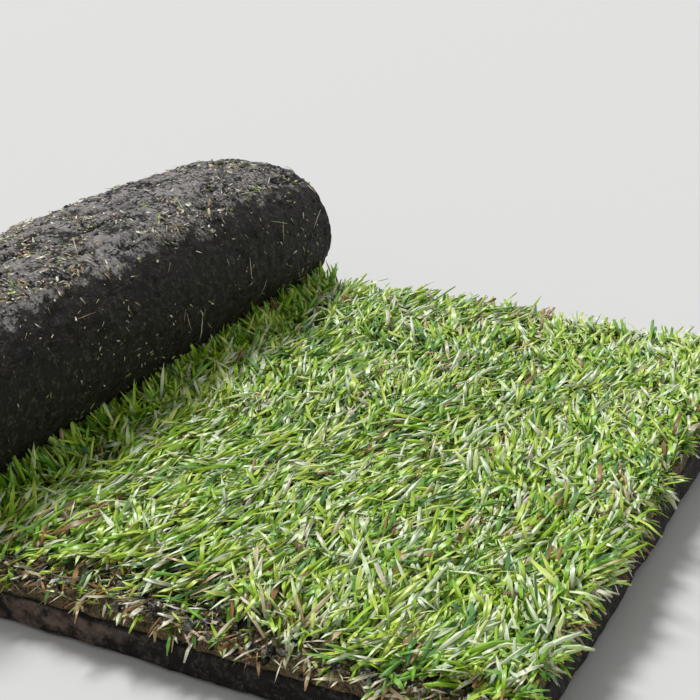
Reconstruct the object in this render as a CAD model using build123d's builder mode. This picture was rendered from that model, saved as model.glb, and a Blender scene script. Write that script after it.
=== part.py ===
"""A roll of turf with its last stretch unrolled: a strip of soil, roots and grass, rolled up grass inwards.

X runs along the strip towards the free cut end, Y along the roll, Z up. The origin is under the middle of
the whole, on the floor. The strip is drawn as sections across the roll. In each, the outer face, which is
the underside of the soil, is a chain of tangent lines and half circles, and every other face is parallel
to it. The sections differ only in how hard the roll was wound, its far end being tighter and so lower, and
in the lumps of the soil over the top of the roll. Tussocks swell out of the standing grass. Lengths are in
millimetres.
"""

import os
from math import acos, asin, cos, degrees, radians, sin, sqrt

from build123d import *

# The strip as it was cut
STRIP_WIDTH = 400.0
SOIL_DEPTH = 15.0
ARRIS_BREAK = 2.5  # where the cut edges of the soil have crumbled away

# The grass: standing on the free stretch, crushed between the turns
SWARD_HEIGHT = 18.0
SHOULDER_ROUND = 9.0  # where the standing grass leans out over the cut edges
LOOSE_SWARD = 6.5  # crushed, over most of the roll
TIGHT_SWARD = 4.0  # crushed, at the far end
TIGHT_REACH = 170.0  # of the roll, from the far end, that winds tighter and tighter

# Clearances, so that no two faces share a place
ROOT_SEAM = 0.2  # soil to its own grass
TURN_SEAM = 0.3  # grass to the next turn's soil

# The roll, wound from the inside out
TURNS = 2
EYE_RADIUS = 4.0  # inside the tightest fold
FLAT_RUN = 26.0  # the roll has sagged: each half turn is followed by a level run
NOSE_GAP = 3.5  # between the inner end, which fills the first fold, and the grass round it

# The free stretch
FREE_LENGTH = 281.0  # beyond the side of the roll, along the floor
LIFT_RADIUS = 520.0  # the cut end has kept some of its curl
LIFT_LENGTH = 70.0

# The soil over the top of the roll, weathered into lumps
LUMP_RISE = 1.8  # above and below the cut face
LUMP_SPACING = 34.0  # along the roll
LUMPS_OVER = 7  # steps of the net of lumps over the roll
LUMPS_FROM = 24.0  # degrees above level, on the side away from the free stretch
LUMPS_TO = 48.0  # degrees above level, on the side towards it
SPREAD = (0.7549, 0.5698)  # steps that spread numbers evenly and in no rows

# Tussocks of the standing grass, each a cap of a broad sphere
TUSSOCKS = 18
TUSSOCK_RADII = (230.0, 290.0, 350.0)
TUSSOCK_RISE = 2.4
TUSSOCK_ROOT = 1.0  # how deep it is drawn under the top that it swells out of
TUSSOCK_GAP = 4.0  # to the cut edges, and to the line where the grass meets the roll

# What follows from them
SWARD_FOOT = SOIL_DEPTH + ROOT_SEAM
STAND_DEPTH = SWARD_FOOT + SWARD_HEIGHT
LIFT_ANGLE = LIFT_LENGTH / LIFT_RADIUS


def winding(sward):
    """The pitch of the turns, and the outer face's radii on their left and right, outermost first."""
    packed_depth = SWARD_FOOT + sward
    pitch = packed_depth + TURN_SEAM
    right_radii = [EYE_RADIUS + packed_depth + pitch * turn for turn in reversed(range(TURNS))]
    left_radii = [radius + pitch / 2 for radius in right_radii]
    return pitch, left_radii, right_radii


def sward_at(y):
    """How thick the crushed grass is at y: even, then thinner by the square of the way to the tight end."""
    way_in = max(0.0, y - (STRIP_WIDTH / 2 - TIGHT_REACH)) / TIGHT_REACH
    return LOOSE_SWARD - (LOOSE_SWARD - TIGHT_SWARD) * way_in**2


TIGHT_STEPS = 4
TIGHT_YS = [STRIP_WIDTH / 2 - TIGHT_REACH * (1 - step / TIGHT_STEPS) for step in range(TIGHT_STEPS + 1)]
SECTIONS = [(y, sward_at(y)) for y in [-STRIP_WIDTH / 2] + TIGHT_YS]

ROLL_LEFT = winding(LOOSE_SWARD)[1][0]
ROLL_RIGHT = winding(LOOSE_SWARD)[2][0]
LENGTH = ROLL_LEFT + FLAT_RUN + ROLL_RIGHT + FREE_LENGTH
LEFT_X = ROLL_LEFT - LENGTH / 2
RIGHT_X = LEFT_X + FLAT_RUN
LIFT_X = LENGTH / 2 - LIFT_RADIUS * sin(LIFT_ANGLE)


def ruled_between(sections):
    """The sections, and the ones that ruled faces between them have at about every LUMP_SPACING."""
    finer = sections[:1]
    for (near_y, near_sward), (far_y, far_sward) in zip(sections, sections[1:]):
        steps = round((far_y - near_y) / LUMP_SPACING)
        for step in range(1, steps + 1):
            way = step / steps
            finer.append((near_y + (far_y - near_y) * way, near_sward + (far_sward - near_sward) * way))
    return finer


def free_line(depth, near_x):
    """The free stretch, depth inside the outer face, from the cut end to near_x by the roll."""
    lift = CenterArc(
        (LIFT_X, LIFT_RADIUS), LIFT_RADIUS - depth, degrees(LIFT_ANGLE) - 90, -degrees(LIFT_ANGLE)
    )
    run = Line((LIFT_X, depth), (near_x, depth))
    return [lift, run]


def nose_round(sward):
    """The radius that the inner end's corner is crushed to, in the innermost half turn on the left."""
    left_radii = winding(sward)[1]
    hollow_radius = left_radii[-1] - SWARD_FOOT - sward
    return min(hollow_radius - NOSE_GAP, SOIL_DEPTH - ARRIS_BREAK)


def lumps_in(row, rows):
    """How far each place over the roll stands out in that row: not at all at the edge of the net."""
    if row in (0, rows - 1):
        return [0.0] * (LUMPS_OVER + 1)
    shares = [(place * SPREAD[0] + row * SPREAD[1]) % 1 for place in range(1, LUMPS_OVER)]
    return [0.0] + [LUMP_RISE * (2 * share - 1) for share in shares] + [0.0]


def lumpy_line(sward, lumps):
    """The outer face over the roll, each of its places from left to right standing out by one of lumps."""
    pitch, left_radii, right_radii = winding(sward)
    left, right = left_radii[0], right_radii[0]
    left_arc = left * radians(90 - LUMPS_FROM)
    right_arc = right * radians(90 - LUMPS_TO)
    points = []
    for place, rise in enumerate(lumps):
        way = (left_arc + FLAT_RUN + right_arc) * place / (len(lumps) - 1) - left_arc
        if way < 0:
            turned = way / left
            points.append((LEFT_X + (left + rise) * sin(turned), left + (left + rise) * cos(turned)))
        elif way < FLAT_RUN:
            points.append((LEFT_X + way, 2 * left + rise))
        else:
            turned = (way - FLAT_RUN) / right
            right_z = left + pitch / 2
            points.append((RIGHT_X + (right + rise) * sin(turned), right_z + (right + rise) * cos(turned)))
    first = radians(90 - LUMPS_FROM)
    last = radians(90 - LUMPS_TO)
    return Spline(*points, tangents=((cos(first), sin(first)), (cos(last), -sin(last))))


def rolled_line(depth, sward, end_x, lumps=None):
    """The rolled stretch, depth inside the outer face, from under the roll to the inner end at end_x."""
    pitch, left_radii, right_radii = winding(sward)
    left_z = left_radii[0]
    right_z = left_z + pitch / 2
    edges = []
    for turn, (left, right) in enumerate(zip(left_radii, right_radii)):
        low = turn * pitch + depth
        high = 2 * left_z - low
        edges.append(Line((RIGHT_X, low), (LEFT_X, low)))
        if lumps and turn == 0:
            edges.append(CenterArc((LEFT_X, left_z), left - depth, -90, -90 - LUMPS_FROM))
            edges.append(lumpy_line(sward, lumps))
            edges.append(CenterArc((RIGHT_X, right_z), right - depth, LUMPS_TO, -90 - LUMPS_TO))
            continue
        edges.append(CenterArc((LEFT_X, left_z), left - depth, -90, -180))
        edges.append(Line((LEFT_X, high), (RIGHT_X, high)))
        edges.append(CenterArc((RIGHT_X, right_z), right - depth, 90, -180))
    low = TURNS * pitch + depth
    edges.append(Line((RIGHT_X, low), (end_x, low)))
    return edges


def nip_line(sward):
    """Where standing grass leans on the side of the roll: an arc round it, up to the top of the grass."""
    pitch, left_radii, right_radii = winding(sward)
    right_z = left_radii[0] + pitch / 2
    nip_radius = right_radii[0] + TURN_SEAM
    nip_angle = acos((right_z - STAND_DEPTH) / nip_radius)
    return CenterArc((RIGHT_X, right_z), nip_radius, -90, degrees(nip_angle))


def on_sward(x, y):
    """The place on top of the standing grass at x, its Z square to it."""
    radius = LIFT_RADIUS - STAND_DEPTH
    tilt = asin(max(0.0, x - LIFT_X) / radius)
    return Location((x, y, LIFT_RADIUS - radius * cos(tilt)), (0, -degrees(tilt), 0))


# Soil and roots: one slab, its underside outwards on the roll, its cut edges crumbled away
with BuildPart() as soil_mat:
    rows = ruled_between(SECTIONS)
    for row, (y, sward) in enumerate(rows):
        lumps = lumps_in(row, len(rows))
        with BuildSketch(Plane.XZ.offset(-y)):
            with BuildLine():
                nose = nose_round(sward)
                underside = free_line(0, RIGHT_X) + rolled_line(0, sward, LEFT_X, lumps)
                crushed = CenterArc(underside[-1] @ 1 + Vector(0, nose), nose, -90, -90)
                rooting_face = free_line(SOIL_DEPTH, RIGHT_X)
                rooting_face += rolled_line(SOIL_DEPTH, sward, LEFT_X - nose)
                Line(underside[0] @ 0, rooting_face[0] @ 0)
                Line(crushed @ 1, rooting_face[-1] @ 1)
            make_face()
    loft(ruled=True)
    cut_sides = soil_mat.faces().filter_by(Axis.Y)
    chamfer(cut_sides.edges(), ARRIS_BREAK)
soil_mat.part.label = "soil_mat"

# The shapes of a tussock: a cap of each radius, with the face that it swells out of at its Z 0
CAP_HEIGHT = TUSSOCK_RISE + TUSSOCK_ROOT
tussock_caps = []
for radius in TUSSOCK_RADII:
    with BuildPart() as cap:
        with Locations((0, 0, TUSSOCK_RISE - radius)):
            Sphere(radius, rotation=(90, 0, 0))
        split(bisect_by=Plane.XY.offset(-TUSSOCK_ROOT))
    tussock_caps.append(cap.part)

# Grass: rooted in the soil all along, upright on the free stretch and crushed between the turns
with BuildPart() as grass_sward:
    for y, sward in SECTIONS:
        with BuildSketch(Plane.XZ.offset(-y)):
            with BuildLine():
                end_x = LEFT_X - nose_round(sward)
                foot = free_line(SWARD_FOOT, RIGHT_X) + rolled_line(SWARD_FOOT, sward, end_x)
                nip = nip_line(sward)
                standing_top = free_line(STAND_DEPTH, (nip @ 1).X)
                packed_top = rolled_line(SWARD_FOOT + sward, sward, end_x)
                Line(foot[0] @ 0, standing_top[0] @ 0)
                Line(foot[-1] @ 1, packed_top[-1] @ 1)
            make_face()
    loft(ruled=True)
    side_rims = [
        grass_sward.edges().sort_by_distance(((edge @ 0.5).X, side, (edge @ 0.5).Y))[0]
        for edge in standing_top
        for side in (-STRIP_WIDTH / 2, STRIP_WIDTH / 2)
    ]
    end_rim = grass_sward.edges().filter_by(Axis.Y).sort_by(Axis.Z)[-1]
    fillet(side_rims + [end_rim], SHOULDER_ROUND)
    clear = TUSSOCK_GAP + sqrt(CAP_HEIGHT * (2 * max(TUSSOCK_RADII) - CAP_HEIGHT))
    first_x = (nip_line(LOOSE_SWARD) @ 1).X + clear
    last_x = (end_rim @ 0.5).X - clear
    side_y = STRIP_WIDTH / 2 - clear
    for tussock in range(TUSSOCKS):
        along, across = [(0.5 + tussock * step) % 1 for step in SPREAD]
        with Locations(on_sward(first_x + (last_x - first_x) * along, side_y * (2 * across - 1))):
            add(tussock_caps[tussock % len(tussock_caps)])
grass_sward.part.label = "grass_sward"

os.makedirs("parts", exist_ok=True)
export_step(soil_mat.part, "parts/soil_mat.step")
export_step(grass_sward.part, "parts/grass_sward.step")
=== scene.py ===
"""A roll of turf with its last stretch unrolled: soil, felt and grass built along one strip, in metres."""

import bpy
import numpy as np
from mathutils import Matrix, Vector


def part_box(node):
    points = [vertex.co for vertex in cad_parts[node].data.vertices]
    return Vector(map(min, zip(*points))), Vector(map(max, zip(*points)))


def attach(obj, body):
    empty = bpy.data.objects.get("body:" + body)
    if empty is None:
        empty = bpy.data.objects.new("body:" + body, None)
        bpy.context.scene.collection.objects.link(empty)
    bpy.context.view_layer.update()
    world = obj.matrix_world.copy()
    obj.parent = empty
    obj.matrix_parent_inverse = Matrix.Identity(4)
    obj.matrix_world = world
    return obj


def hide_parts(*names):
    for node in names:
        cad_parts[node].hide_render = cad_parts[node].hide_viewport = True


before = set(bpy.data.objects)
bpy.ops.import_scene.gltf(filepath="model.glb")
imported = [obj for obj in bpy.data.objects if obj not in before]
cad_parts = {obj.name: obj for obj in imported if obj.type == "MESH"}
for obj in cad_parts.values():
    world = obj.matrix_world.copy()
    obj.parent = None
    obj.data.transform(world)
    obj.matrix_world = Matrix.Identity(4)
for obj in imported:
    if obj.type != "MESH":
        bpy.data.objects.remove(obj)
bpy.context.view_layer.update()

scene = bpy.context.scene


# The camera: low over the free stretch, looking along the roll and down, so that the roll's near end is
# outside the picture.
EYE = (0.3514, -0.6310, 0.3652)
TURNED_LEFT = np.radians(26.7)
TILTED_DOWN = np.radians(22.5)

camera = bpy.data.objects.new("camera", bpy.data.cameras.new("camera"))
camera.data.lens = 75
camera.data.sensor_width = 36
camera.data.clip_start = 0.05
camera.location = EYE
camera.rotation_euler = (np.pi / 2 - TILTED_DOWN, 0, TURNED_LEFT)
scene.collection.objects.link(camera)
scene.camera = camera
scene.view_settings.view_transform = "Standard"


# The strip: cut 15 mm deep with its roots and wound up grass inwards, so that its path is a chain of
# level runs and half circles. It starts at the free cut end and ends inside the first fold, and the far
# end is wound tighter.
MM = 0.001
SOIL_DEPTH = 15 * MM
ROOT_SEAM = 0.2 * MM
TURN_SEAM = 0.3 * MM
LOOSE_SWARD = 6.5 * MM
TIGHT_SWARD = 4 * MM
TIGHT_REACH = 170 * MM
TURNS = 2
EYE_RADIUS = 4 * MM
FLAT_RUN = 26 * MM
NOSE_GAP = 3.5 * MM
FREE_LENGTH = 281 * MM
LIFT_RADIUS = 520 * MM
LIFT_LENGTH = 70 * MM
SWARD_FOOT = SOIL_DEPTH + ROOT_SEAM
HALF_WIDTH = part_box("soil_mat")[1].y


def winding(y):
    """At y: the crushed grass, the pitch and the outer face's radii on the left and right, outermost first.

    The crushed grass thins by the square of the way into the tight reach, and the rest adds up from it.
    """
    way_in = np.clip(y - (HALF_WIDTH - TIGHT_REACH), 0, None) / TIGHT_REACH
    sward = LOOSE_SWARD - (LOOSE_SWARD - TIGHT_SWARD) * way_in**2
    pitch = SWARD_FOOT + sward + TURN_SEAM
    right = [EYE_RADIUS + SWARD_FOOT + sward + pitch * turn for turn in reversed(range(TURNS))]
    left = [radius + pitch / 2 for radius in right]
    return sward, pitch, left, right


ROLL_LEFT = winding(0.0)[2][0]
ROLL_RIGHT = winding(0.0)[3][0]
LENGTH = ROLL_LEFT + FLAT_RUN + ROLL_RIGHT + FREE_LENGTH
LEFT_X = ROLL_LEFT - LENGTH / 2
RIGHT_X = LEFT_X + FLAT_RUN
LIFT_ANGLE = LIFT_LENGTH / LIFT_RADIUS
LIFT_X = LENGTH / 2 - LIFT_RADIUS * np.sin(LIFT_ANGLE)
QUARTER = np.pi / 2


def stretches(y):
    """The strip's path at y: level runs as (x, x, z, way in), round ones as (x, z, radius, angle, angle)."""
    sward, pitch, left, right = winding(y)
    left_z = left[0]
    right_z = left_z + pitch / 2
    nose = left[-1] - SWARD_FOOT - sward - NOSE_GAP
    path = [(LIFT_X, LIFT_RADIUS, LIFT_RADIUS, LIFT_ANGLE - QUARTER, -QUARTER), (LIFT_X, RIGHT_X, 0, 1)]
    for turn in range(TURNS):
        low = turn * pitch
        path.append((RIGHT_X, LEFT_X, low, 1))
        path.append((LEFT_X, left_z, left[turn], -QUARTER, -3 * QUARTER))
        path.append((LEFT_X, RIGHT_X, 2 * left_z - low, -1))
        path.append((RIGHT_X, right_z, right[turn], QUARTER, -QUARTER))
    path.append((RIGHT_X, LEFT_X - nose, TURNS * pitch, 1))
    return path


def stretch_length(stretch):
    """A level run's length is between its ends, and a round one's is its radius times its angle."""
    if len(stretch) == 4:
        return abs(stretch[1] - stretch[0])
    return stretch[2] * abs(stretch[4] - stretch[3])


STRETCH_ENDS = np.cumsum([0.0] + [stretch_length(stretch) for stretch in stretches(0.0)])
STRIP_LENGTH = STRETCH_ENDS[-1]


def strip(s, y, depth):
    """The spot that lies s along the strip from its cut end, y across it and depth in from its outer face.

    Gives the spot, the way along the strip and the way in. Each stretch is gone through in proportion, so
    that equal s are on one line across the strip, and depth is taken straight in.
    """
    s, y, depth = np.broadcast_arrays(s, y, depth)
    x, z, in_x, in_z = (np.zeros(s.shape) for _ in range(4))
    for number, stretch in enumerate(stretches(y)):
        start, end = STRETCH_ENDS[number : number + 2]
        here = (s >= start) & ((s < end) | (number == len(STRETCH_ENDS) - 2))
        part = (s - start) / (end - start)
        if len(stretch) == 4:
            x_start, x_end, level, way_in = stretch
            new = (x_start + (x_end - x_start) * part, level, 0, way_in)
        else:
            middle_x, middle_z, radius, turned, end_turned = stretch
            angle = turned + (end_turned - turned) * part
            cos, sin = np.cos(angle), np.sin(angle)
            new = (middle_x + radius * cos, middle_z + radius * sin, -cos, -sin)
        for values, value in zip((x, z, in_x, in_z), new):
            values[here] = np.broadcast_to(value, s.shape)[here]
    zero = np.zeros(s.shape)
    inward = np.stack([in_x, zero, in_z], axis=-1)
    spot = np.stack([x, y, z], axis=-1) + inward * depth[..., None]
    along = np.stack([-in_z, zero, in_x], axis=-1)
    return spot, along, inward


def x_at(s, y):
    """Where the top of the soil is along x."""
    return strip(s, y, SOIL_DEPTH)[0][..., 0]


UNDER_ROLL = STRETCH_ENDS[2]
ROLL_START = STRETCH_ENDS[3]
ROLL_END = STRETCH_ENDS[6]
ACROSS = np.array([0.0, 1.0, 0.0])


# The soil and its roots: black and crumbling. Its cut underside has dried, cracked and broken up where it is
# bent over the top of the roll, where its pale colour is painted sunlight too, and stays dark and smeared
# smooth on the shaded side and on the cut edges.
def smooth(value, low, high):
    """From 0 at low to 1 at high, with no corner at either."""
    t = np.clip((value - low) / (high - low), 0, 1)
    return t * t * (3 - 2 * t)


def noise(a, b, size, seed):
    """From -1 to 1: random numbers on a square lattice of this size over (a, b), joined by smooth steps."""
    table = np.random.default_rng(seed).uniform(-1, 1, (97, 89))
    a, b = np.broadcast_arrays(a / size, b / size)
    i, j = np.floor(a).astype(int), np.floor(b).astype(int)
    s, t = smooth(a - i, 0, 1), smooth(b - j, 0, 1)
    i0, i1, j0, j1 = i % 97, (i + 1) % 97, j % 89, (j + 1) % 89
    low = table[i0, j0] + (table[i1, j0] - table[i0, j0]) * s
    high = table[i0, j1] + (table[i1, j1] - table[i0, j1]) * s
    return low + (high - low) * t


def rough(a, b, size, seed, octaves=3):
    """Noise at this size with finer noise on it, each octave half the size and height of the last."""
    return sum(noise(a, b, size / 2**k, seed + k) / 2**k for k in range(octaves))


def clods(a, b, size, seed):
    """From 0 to 1: a dome round one jittered spot in each cell of this size, and the highest dome counts."""
    rng = np.random.default_rng(seed)
    jitter = rng.uniform(0.1, 0.9, (67, 71, 2))
    reach = rng.uniform(0.35, 0.85, (67, 71))
    a, b = np.broadcast_arrays(a / size, b / size)
    i, j = np.floor(a).astype(int), np.floor(b).astype(int)
    height = np.zeros(a.shape)
    for step_a in (-1, 0, 1):
        for step_b in (-1, 0, 1):
            cell = (i + step_a) % 67, (j + step_b) % 71
            away_a = i + step_a + jitter[cell][..., 0] - a
            away_b = j + step_b + jitter[cell][..., 1] - b
            near = 1 - (away_a**2 + away_b**2) / reach[cell] ** 2
            height = np.maximum(height, np.sqrt(np.clip(near, 0, 1)) * reach[cell])
    return height


def open_face(s):
    """1 on the outside of the roll and 0 where the outer face is on the floor or inside the roll."""
    return smooth(s, ROLL_START, ROLL_START + 16 * MM) * (1 - smooth(s, ROLL_END - 12 * MM, ROLL_END))


# The way that the top faces, up and back towards the lamp: its pale colour is painted sunlight as well as
# dried dust.
LIT_AND_DRIED_FROM = np.array([-0.5, 0.0, 0.866])


def weathered_and_lit(s, y):
    """From 0 to 1: how far the outer face has broken up and gone pale and crumbly as it dries, on the top
    and the back of the roll, which face the lamp; its paleness is also painted sunlight.
    """
    inward = strip(s, y, 0)[2]
    ragged = 0.07 * rough(s, y, 38 * MM, 5) + 0.13 * rough(s + 0.4 * y, y, 7 * MM, 9)
    return open_face(s) * smooth(ragged - inward @ LIT_AND_DRIED_FROM, 0.2, 0.52)


def painted_sunlight(s, y):
    """Painted sunlight on the broken-up soil, as a share of its pale dust: most on top at the near end, and
    less, as painted shade, far off and behind.
    """
    behind = smooth(strip(s, y, 0)[2][..., 0], 0.15, 0.9)
    return (1.25 - 0.6 * smooth(y, -60 * MM, HALF_WIDTH)) * (1 - 0.5 * behind)


def cracks(s, y):
    """From 0 to 1: long wandering cracks along the roll, where noise drawn out along it crosses zero."""
    line = noise(s + 2 * MM * noise(s, y, 9 * MM, 31), y / 4.5, 15 * MM, 32)
    broken = smooth(noise(s, y / 1.5, 22 * MM, 33), -0.25, 0.3)
    return (1 - smooth(np.abs(line), 0.0, 0.13)) * broken


# The broad lumps are those of the CAD part, whose sizes these are.
LUMP_RISE = 1.8 * MM
LUMPS_OVER = 7
LUMPS_FROM = 24
LUMPS_TO = 48
LOOSE_ROWS = 7
TIGHT_ROWS = 4
SPREAD = (0.7549, 0.5698)


def lump_net(s, y):
    """How far the broad lumps over the top of the roll stand out: a net of heights with none at its edge."""
    first = STRETCH_ENDS[3] + (STRETCH_ENDS[4] - STRETCH_ENDS[3]) * (90 + LUMPS_FROM) / 180
    last = STRETCH_ENDS[5] + (STRETCH_ENDS[6] - STRETCH_ENDS[5]) * (90 - LUMPS_TO) / 180
    rows = LOOSE_ROWS + TIGHT_ROWS
    number, row_number = np.meshgrid(np.arange(LUMPS_OVER + 1), np.arange(rows + 1), indexing="ij")
    heights = LUMP_RISE * (2 * ((number * SPREAD[0] + row_number * SPREAD[1]) % 1) - 1)
    heights[[0, -1]] = 0
    heights[:, [0, -1]] = 0
    place = np.clip((s - first) / (last - first), 0, 1) * LUMPS_OVER
    row = np.interp(y, (-HALF_WIDTH, HALF_WIDTH - TIGHT_REACH, HALF_WIDTH), (0, LOOSE_ROWS, rows))
    i, j = np.minimum(place.astype(int), LUMPS_OVER - 1), np.minimum(row.astype(int), rows - 1)
    near, far = 1 - smooth(place - i, 0, 1), smooth(place - i, 0, 1)
    low = heights[i, j] * near + heights[i + 1, j] * far
    high = heights[i, j + 1] * near + heights[i + 1, j + 1] * far
    return low + (high - low) * (row - j)


def soil_relief(s, y):
    """How far the outer face stands out: lumps, then clods, crumbs and cracks where it has weathered."""
    broken_up = weathered_and_lit(s, y)
    lumps = lump_net(s, y) + 0.5 * MM * rough(s, y, 40 * MM, 11)
    crumbly = smooth(rough(s, y, 34 * MM, 16), -0.5, 0.5)
    plates = 1.4 * MM * (np.minimum(clods(s, y, 12 * MM, 12), 0.42) / 0.42 - 1)
    crumbs = 1.9 * MM * (clods(s, y, 5 * MM, 13) - 0.5) * (0.25 + 0.75 * crumbly)
    smeared = 0.9 * MM * (np.minimum(clods(s, y, 9 * MM, 17), 0.45) - 0.35)
    pits = -0.9 * MM * smooth(rough(s, y, 11 * MM, 14), 0.3, 0.8)
    fine = (0.3 + 0.15 * broken_up) * MM * noise(s, y, 4 * MM, 15)
    opened = -(0.9 + 1.7 * broken_up) * MM * cracks(s, y)
    face = broken_up * (plates + crumbs + 0.4 * MM) + (1 - broken_up) * (smeared + pits)
    return open_face(s) * (lumps + face + fine + opened)


def rows_along(steps):
    """Places along the strip: each stretch is cut into this many equal steps."""
    parts = [
        np.linspace(start, end, count, endpoint=False)
        for start, end, count in zip(STRETCH_ENDS[:-1], STRETCH_ENDS[1:], steps)
    ]
    return np.append(np.concatenate(parts), STRIP_LENGTH)


DRAWN_IN = 0.6
MAP_DEPTH = 15 * MM


def slab_ring(face_steps, side_steps, back_steps):
    """Once round the strip's cross-section: y, and the share of the way from its fine face to its plain one.

    It goes over the fine face from one side to the other, down that side, back along the plain face and up
    again. On the fine face the spots follow a sine, closer at the edges, so that the edges keep their shape.
    """
    face = HALF_WIDTH * np.sin(np.linspace(-1, 1, face_steps + 1) * np.arcsin(DRAWN_IN)) / DRAWN_IN
    side = np.linspace(0, 1, side_steps + 2)[1:-1]
    back = np.linspace(HALF_WIDTH, -HALF_WIDTH, back_steps + 1)
    y = np.concatenate([face, np.full(side_steps, HALF_WIDTH), back, np.full(side_steps, -HALF_WIDTH)])
    share = np.concatenate([np.zeros(face_steps + 1), side, np.ones(back_steps + 1), side[::-1]])
    return y, share


def slab_mesh(name, steps, round_steps, place, from_outside):
    """A closed slab: the ring carried along the rows, its ends closed by rows of the fine face's spots.

    place(s, y, share) gives the spots, and from_outside says that the fine face is the strip's outer one.
    The map lays the slab out flat, its ends beside it.
    """
    rows = rows_along(steps)
    ring_y, ring_share = slab_ring(*round_steps)
    face_steps, side_steps, back_steps = round_steps
    around = len(ring_y)
    body = place(rows[:, None], ring_y[None, :], ring_share[None, :])
    at = np.arange(len(rows) * around).reshape(len(rows), around)
    closed = np.column_stack([at, at[:, 0]])
    quads = np.stack([closed[:-1, :-1], closed[:-1, 1:], closed[1:, 1:], closed[1:, :-1]], axis=-1)
    down = MAP_DEPTH * np.diff(ring_share, append=ring_share[0])
    ring_steps = np.hypot(np.diff(ring_y, append=ring_y[0]), down)
    round_map = np.append(0, np.cumsum(ring_steps))
    map_u, map_v = np.broadcast_arrays(round_map[None, :], rows[:, None])
    sheet = np.stack([map_u, map_v], axis=-1)
    quad_map = np.stack([sheet[:-1, :-1], sheet[:-1, 1:], sheet[1:, 1:], sheet[1:, :-1]], axis=-2)
    points = [body.reshape(-1, 3)]
    quads, quad_map = [quads.reshape(-1, 4)], [quad_map.reshape(-1, 4, 2)]
    triangles, triangle_map = [], []
    count = len(points[0])
    share = np.linspace(0, 1, side_steps + 2)
    face_y = ring_y[: face_steps + 1]
    for end, (row, s) in enumerate(((0, rows[0]), (len(rows) - 1, rows[-1]))):
        inner = place(s, face_y[None, 1:-1], share[1:-1, None])
        new = count + np.arange(inner[..., 0].size).reshape(inner.shape[:2])
        points.append(inner.reshape(-1, 3))
        count += new.size
        far_side = at[row, face_steps + 1 : face_steps + 1 + side_steps]
        near_side = at[row, around - side_steps :][::-1]
        cap = np.column_stack([near_side, new, far_side])
        cap = np.vstack([at[row, : face_steps + 1], cap])
        spread = np.stack(np.broadcast_arrays(face_y[None, :], MAP_DEPTH * share[:-1, None]), axis=-1)
        spread = spread + (HALF_WIDTH * (1 + 2.1 * end), STRIP_LENGTH + 4 * MM)
        faces = np.stack([cap[:-1, :-1], cap[1:, :-1], cap[1:, 1:], cap[:-1, 1:]], axis=-1)
        faces_map = np.stack([spread[:-1, :-1], spread[1:, :-1], spread[1:, 1:], spread[:-1, 1:]], axis=-2)
        plain = at[row, around - side_steps - back_steps - 1 : around - side_steps][::-1]
        column = np.arange(face_steps + 1)
        partner = column * back_steps // face_steps
        left, right = cap[-1, :-1], cap[-1, 1:]
        fan = [np.stack([left, plain[partner[:-1]], right], axis=-1)]
        foot = spread[-1] + (0, MAP_DEPTH / (side_steps + 1))
        fan_map = [np.stack([spread[-1, :-1], foot[:-1], spread[-1, 1:]], axis=-2)]
        steps = np.nonzero(np.diff(partner))[0]
        fan.append(np.stack([right[steps], plain[partner[steps]], plain[partner[steps + 1]]], axis=-1))
        fan_map.append(np.stack([spread[-1, steps + 1], foot[steps], foot[steps + 1]], axis=-2))
        turned = slice(None, None, -1) if end else slice(None)
        quads.append(faces.reshape(-1, 4)[:, turned])
        quad_map.append(faces_map.reshape(-1, 4, 2)[:, turned])
        triangles.append(np.concatenate(fan)[:, turned])
        triangle_map.append(np.concatenate(fan_map)[:, turned])
    turned = slice(None, None, -1) if from_outside else slice(None)
    return make_mesh(
        name,
        np.concatenate(points),
        [(np.concatenate(quads)[:, turned], np.concatenate(quad_map)[:, turned]),
         (np.concatenate(triangles)[:, turned], np.concatenate(triangle_map)[:, turned])],
    )


def make_mesh(name, points, kinds, fit_map=True):
    """A piece from its points and faces: each kind is an array of corners and one of their map places."""
    mesh = bpy.data.meshes.new(name)
    mesh.vertices.add(len(points))
    mesh.vertices.foreach_set("co", np.ascontiguousarray(points, dtype=np.float32).ravel())
    corners = np.concatenate([faces.ravel() for faces, _ in kinds])
    sizes = np.concatenate([np.full(len(faces), faces.shape[1]) for faces, _ in kinds])
    mesh.loops.add(len(corners))
    mesh.loops.foreach_set("vertex_index", corners.astype(np.int32))
    mesh.polygons.add(len(sizes))
    mesh.polygons.foreach_set("loop_start", np.append(0, np.cumsum(sizes)[:-1]).astype(np.int32))
    flat = np.concatenate([places.reshape(-1, 2) for _, places in kinds])
    if fit_map:
        flat = (flat - flat.min(axis=0)) / np.ptp(flat, axis=0).max()
    mesh.uv_layers.new(name="OFBake").uv.foreach_set("vector", flat.astype(np.float32).ravel())
    mesh.update(calc_edges=True)
    mesh.shade_smooth()
    piece = bpy.data.objects.new(name, mesh)
    scene.collection.objects.link(piece)
    return piece


SOIL_ROUND = (214, 7, 24)
SOIL_STEPS = (16, 52, 6, 118, 20, 88, 6, 20, 6, 14, 9)
ARRIS = 2.2 * MM
CUT_BAND = 4 * MM
END_BAND = 2.5 * MM


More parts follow.
